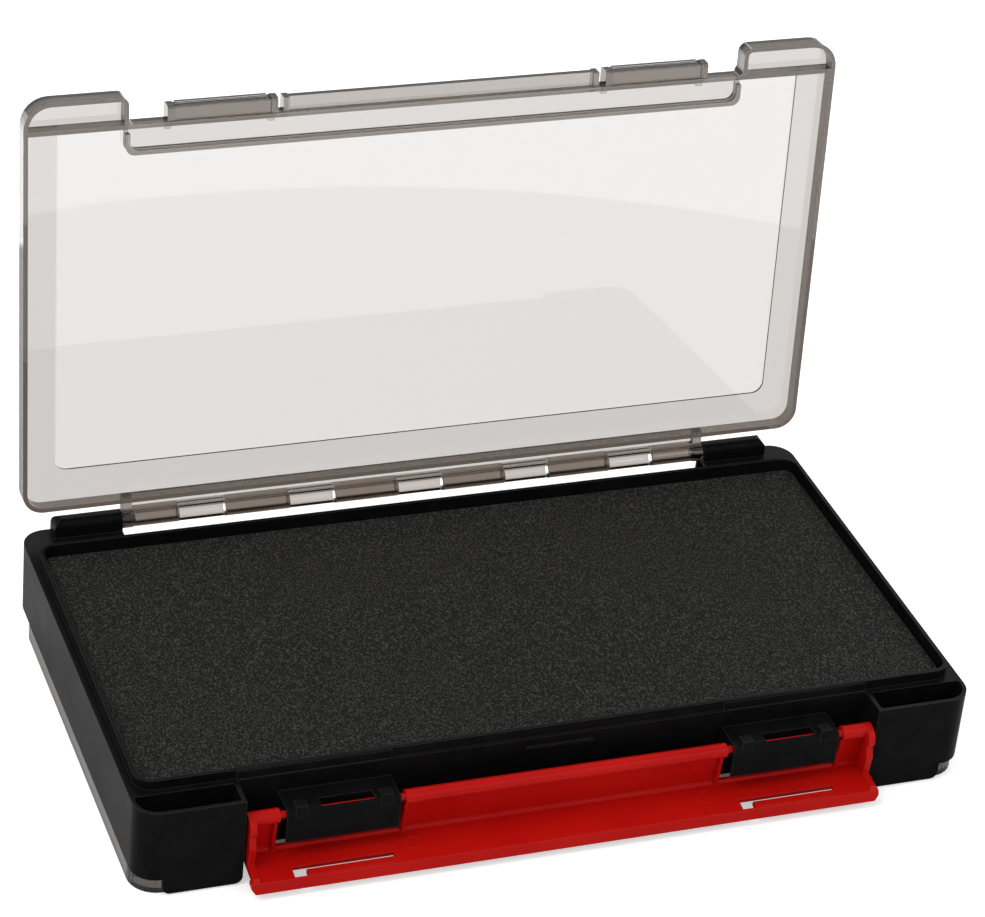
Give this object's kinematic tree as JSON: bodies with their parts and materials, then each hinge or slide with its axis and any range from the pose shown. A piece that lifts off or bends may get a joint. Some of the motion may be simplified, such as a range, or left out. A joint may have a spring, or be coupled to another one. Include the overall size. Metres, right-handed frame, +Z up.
{
  "type": "double-sided lure box",
  "caption": "Flat two-sided tackle case: black tray with foam liners, smoked clear lids hinged at the back, swing latch along the front.",
  "frame": {"origin": "on the ground under the middle of the tray, on the outer face of the bottom lid", "axes": "+X to the right along the hinge, +Y from the latch at the front to the hinge at the rear, +Z up"},
  "size_m": [0.275, 0.1747, 0.1854],
  "materials": {
    "black_plastic": "satin moulded plastic",
    "smoked_plastic": "clear, smoke-tinted, glossy",
    "red_plastic": "glossy moulded plastic",
    "dark_foam": "closed-cell foam, fine speckle",
    "pin_steel": "bright drawn wire"
  },
  "bodies": {
    "tray": {"tray_body": "black_plastic", "top_left_hinge_pin": "pin_steel", "top_right_hinge_pin": "pin_steel", "bottom_left_hinge_pin": "pin_steel", "bottom_right_hinge_pin": "pin_steel", "top_foam": "dark_foam", "bottom_foam": "dark_foam"},
    "top_cover": {"top_lid": "smoked_plastic"},
    "bottom_cover": {"bottom_lid": "smoked_plastic"},
    "latch": {"front_latch": "red_plastic"}
  },
  "joints": [
    {"name": "top_lid_hinge", "type": "hinge", "parent": "tray", "child": "top_cover", "pos_m": [0, 0.0743, 0.0338], "axis": [1, 0, 0], "range_deg": [0, 94]},
    {"name": "bottom_lid_hinge", "type": "hinge", "parent": "tray", "child": "bottom_cover", "pos_m": [0, 0.0743, 0.0032], "axis": [1, 0, 0], "range_deg": [0, 100]},
    {"name": "latch_hinge", "type": "hinge", "parent": "tray", "child": "latch", "pos_m": [0, -0.0749, 0.0223], "axis": [1, 0, 0], "range_deg": [-188, 0]}
  ]
}
